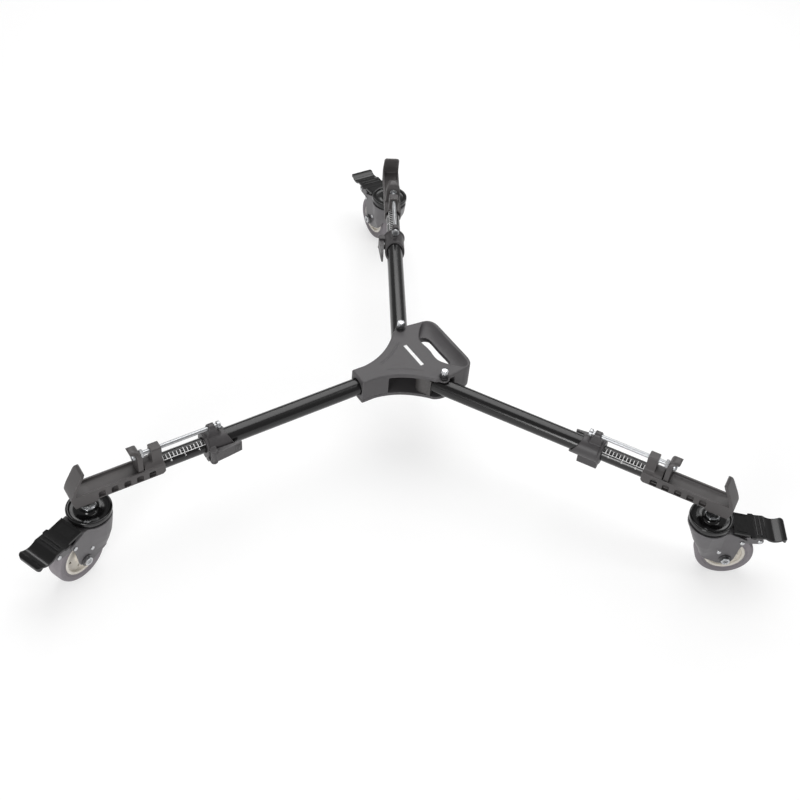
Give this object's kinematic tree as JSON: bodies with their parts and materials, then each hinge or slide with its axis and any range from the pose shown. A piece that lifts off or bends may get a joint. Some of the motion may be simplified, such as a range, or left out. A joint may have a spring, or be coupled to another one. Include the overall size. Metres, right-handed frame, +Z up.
{
  "type": "tripod dolly",
  "caption": "Folding three-arm tripod dolly: carry-handle hub, telescopic arms with foot cradles, cam-lever collars and braked swivel casters.",
  "frame": {"origin": "on the floor under the middle of the dolly's bounding box", "axes": "+Z up, the fixed arm points along -Y and the carry handle is on the +Y side of the hub, +X to the right"},
  "size_m": [1.0124, 0.918, 0.1797],
  "materials": {
    "cast_hub": "fine moulded texture, dark grey",
    "cast_grey": "warm dark grey casting, satin",
    "black_tube": "gloss black enamel",
    "black_gloss": "gloss black enamel on pressed steel",
    "dark_plastic": "dark grey moulded plastic",
    "bright_steel": "bright plated steel",
    "fork_grey": "satin grey",
    "tyre": "grey moulded tread",
    "wheel_cream": "cream white moulded plastic"
  },
  "bodies": {
    "hub": {"hub_body": "cast_hub", "hub_base_plate": "cast_hub", "base_screw_1": "bright_steel", "base_screw_2": "bright_steel", "base_screw_3": "bright_steel", "pivot_pin_left": "bright_steel", "plunger_bush_left": "cast_hub", "plunger_spring_left": "bright_steel", "pivot_pin_right": "bright_steel", "plunger_bush_right": "cast_hub", "plunger_spring_right": "bright_steel", "outer_tube_fixed": "black_tube", "clamp_collar_fixed": "dark_plastic"},
    "lever_fixed": {"cam_lever_fixed": "dark_plastic"},
    "extension_fixed": {"inner_tube_fixed": "black_tube", "foot_cradle_fixed": "cast_grey", "foot_claw_fixed": "cast_grey", "guide_rod_fixed": "bright_steel", "kingpin_fixed": "bright_steel", "swivel_race_fixed": "black_gloss"},
    "caster_fixed": {"caster_fork_fixed": "fork_grey", "wheel_axle_fixed": "bright_steel"},
    "brake_fixed": {"brake_arm_fixed": "fork_grey", "brake_pedal_fixed": "black_gloss"},
    "wheel_fixed": {"wheel_centre_fixed": "wheel_cream", "tyre_fixed": "tyre"},
    "arm_left": {"knuckle_left": "cast_grey", "outer_tube_left": "black_tube", "clamp_collar_left": "dark_plastic"},
    "plunger_left": {"plunger_left": "bright_steel"},
    "lever_left": {"cam_lever_left": "dark_plastic"},
    "extension_left": {"inner_tube_left": "black_tube", "foot_cradle_left": "cast_grey", "foot_claw_left": "cast_grey", "guide_rod_left": "bright_steel", "kingpin_left": "bright_steel", "swivel_race_left": "black_gloss"},
    "caster_left": {"caster_fork_left": "fork_grey", "wheel_axle_left": "bright_steel"},
    "brake_left": {"brake_arm_left": "fork_grey", "brake_pedal_left": "black_gloss"},
    "wheel_left": {"wheel_centre_left": "wheel_cream", "tyre_left": "tyre"},
    "arm_right": {"knuckle_right": "cast_grey", "outer_tube_right": "black_tube", "clamp_collar_right": "dark_plastic"},
    "plunger_right": {"plunger_right": "bright_steel"},
    "lever_right": {"cam_lever_right": "dark_plastic"},
    "extension_right": {"inner_tube_right": "black_tube", "foot_cradle_right": "cast_grey", "foot_claw_right": "cast_grey", "guide_rod_right": "bright_steel", "kingpin_right": "bright_steel", "swivel_race_right": "black_gloss"},
    "caster_right": {"caster_fork_right": "fork_grey", "wheel_axle_right": "bright_steel"},
    "brake_right": {"brake_arm_right": "fork_grey", "brake_pedal_right": "black_gloss"},
    "wheel_right": {"wheel_centre_right": "wheel_cream", "tyre_right": "tyre"}
  },
  "joints": [
    {"name": "clamp_lever_fixed", "type": "hinge", "parent": "hub", "child": "lever_fixed", "pos_m": [0.03564, -0.18448, 0.13175], "axis": [0, 0, -1], "range_deg": [0, 80]},
    {"name": "extend_fixed", "type": "slide", "parent": "hub", "child": "extension_fixed", "axis": [0, -1, 0], "range_m": [-0.058, 0]},
    {"name": "swivel_fixed", "type": "hinge", "parent": "extension_fixed", "child": "caster_fixed", "pos_m": [0.01503, -0.35548, 0.09175], "axis": [0, 0, 1], "continuous": true},
    {"name": "brake_fixed", "type": "hinge", "parent": "caster_fixed", "child": "brake_fixed", "pos_m": [0.03204, -0.39822, 0.07675], "axis": [0.9291, 0.3697, 0], "range_deg": [0, 8]},
    {"name": "roll_fixed", "type": "hinge", "parent": "caster_fixed", "child": "wheel_fixed", "pos_m": [0.02687, -0.38521, 0.03975], "axis": [0.9291, 0.3697, 0], "continuous": true},
    {"name": "fold_left", "type": "hinge", "parent": "hub", "child": "arm_left", "pos_m": [-0.01961, 0.14452, 0.13675], "axis": [0, 0, 1], "range_deg": [0, 110]},
    {"name": "plunger_pull_left", "type": "slide", "parent": "hub", "child": "plunger_left", "axis": [0, 0, 1], "range_m": [0, 0.0045], "stiffness_N_per_m": 400, "springref_m": -0.004, "deforming": ["plunger_spring_left"]},
    {"name": "clamp_lever_left", "type": "hinge", "parent": "arm_left", "child": "lever_left", "pos_m": [-0.26287, 0.26118, 0.13175], "axis": [0, 0, -1], "range_deg": [0, 80]},
    {"name": "extend_left", "type": "slide", "parent": "arm_left", "child": "extension_left", "axis": [-0.866, 0.5, 0], "range_m": [-0.058, 0]},
    {"name": "swivel_left", "type": "hinge", "parent": "extension_left", "child": "caster_left", "pos_m": [-0.40066, 0.36452, 0.09175], "axis": [0, 0, 1], "continuous": true},
    {"name": "brake_left", "type": "hinge", "parent": "caster_left", "child": "brake_left", "pos_m": [-0.44663, 0.36612, 0.07675], "axis": [-0.0349, -0.9994, 0], "range_deg": [0, 8]},
    {"name": "roll_left", "type": "hinge", "parent": "caster_left", "child": "wheel_left", "pos_m": [-0.43264, 0.36564, 0.03975], "axis": [-0.0349, -0.9994, 0], "continuous": true},
    {"name": "fold_right", "type": "hinge", "parent": "hub", "child": "arm_right", "pos_m": [0.04968, 0.14452, 0.13675], "axis": [0, 0, -1], "range_deg": [0, 112]},
    {"name": "plunger_pull_right", "type": "slide", "parent": "hub", "child": "plunger_right", "axis": [0, 0, 1], "range_m": [0, 0.0045], "stiffness_N_per_m": 400, "springref_m": -0.004, "deforming": ["plunger_spring_right"]},
    {"name": "clamp_lever_right", "type": "hinge", "parent": "arm_right", "child": "lever_right", "pos_m": [0.27234, 0.29686, 0.13175], "axis": [0, 0, -1], "range_deg": [0, 80]},
    {"name": "extend_right", "type": "slide", "parent": "arm_right", "child": "extension_right", "axis": [0.866, 0.5, 0], "range_m": [-0.058, 0]},
    {"name": "swivel_right", "type": "hinge", "parent": "extension_right", "child": "caster_right", "pos_m": [0.43073, 0.36452, 0.09175], "axis": [0, 0, 1], "continuous": true},
    {"name": "brake_right", "type": "hinge", "parent": "caster_right", "child": "brake_right", "pos_m": [0.4577, 0.40178, 0.07675], "axis": [-0.81, 0.5864, 0], "range_deg": [0, 8]},
    {"name": "roll_right", "type": "hinge", "parent": "caster_right", "child": "wheel_right", "pos_m": [0.44949, 0.39044, 0.03975], "axis": [-0.81, 0.5864, 0], "continuous": true}
  ]
}
